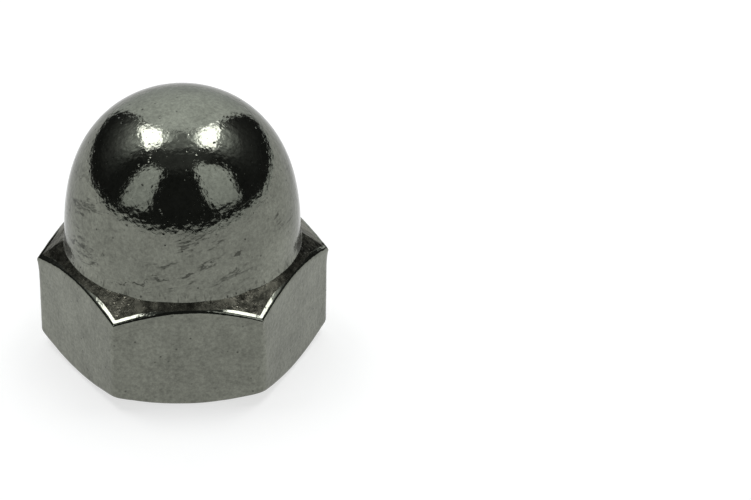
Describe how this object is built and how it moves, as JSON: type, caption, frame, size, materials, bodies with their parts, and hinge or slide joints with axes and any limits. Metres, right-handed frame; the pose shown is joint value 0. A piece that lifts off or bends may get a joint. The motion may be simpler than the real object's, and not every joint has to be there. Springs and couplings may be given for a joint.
{
  "type": "cap nut",
  "caption": "Hexagon cap nut with a round dome that closes a blind threaded hole, chamfered top and bottom, in tumbled stainless steel.",
  "frame": {"origin": "centre of the bearing face, where the hole opens", "axes": "+Z along the thread axis from the bearing face up through the top of the dome; flats face +Y and -Y, and two corners lie on X"},
  "size_m": [0.015, 0.013, 0.0143],
  "materials": {
    "steel": "tumbled stainless steel, semi-bright, with fine pits and scuffs"
  },
  "bodies": {
    "root": {"cap_nut": "steel"}
  },
  "joints": []
}
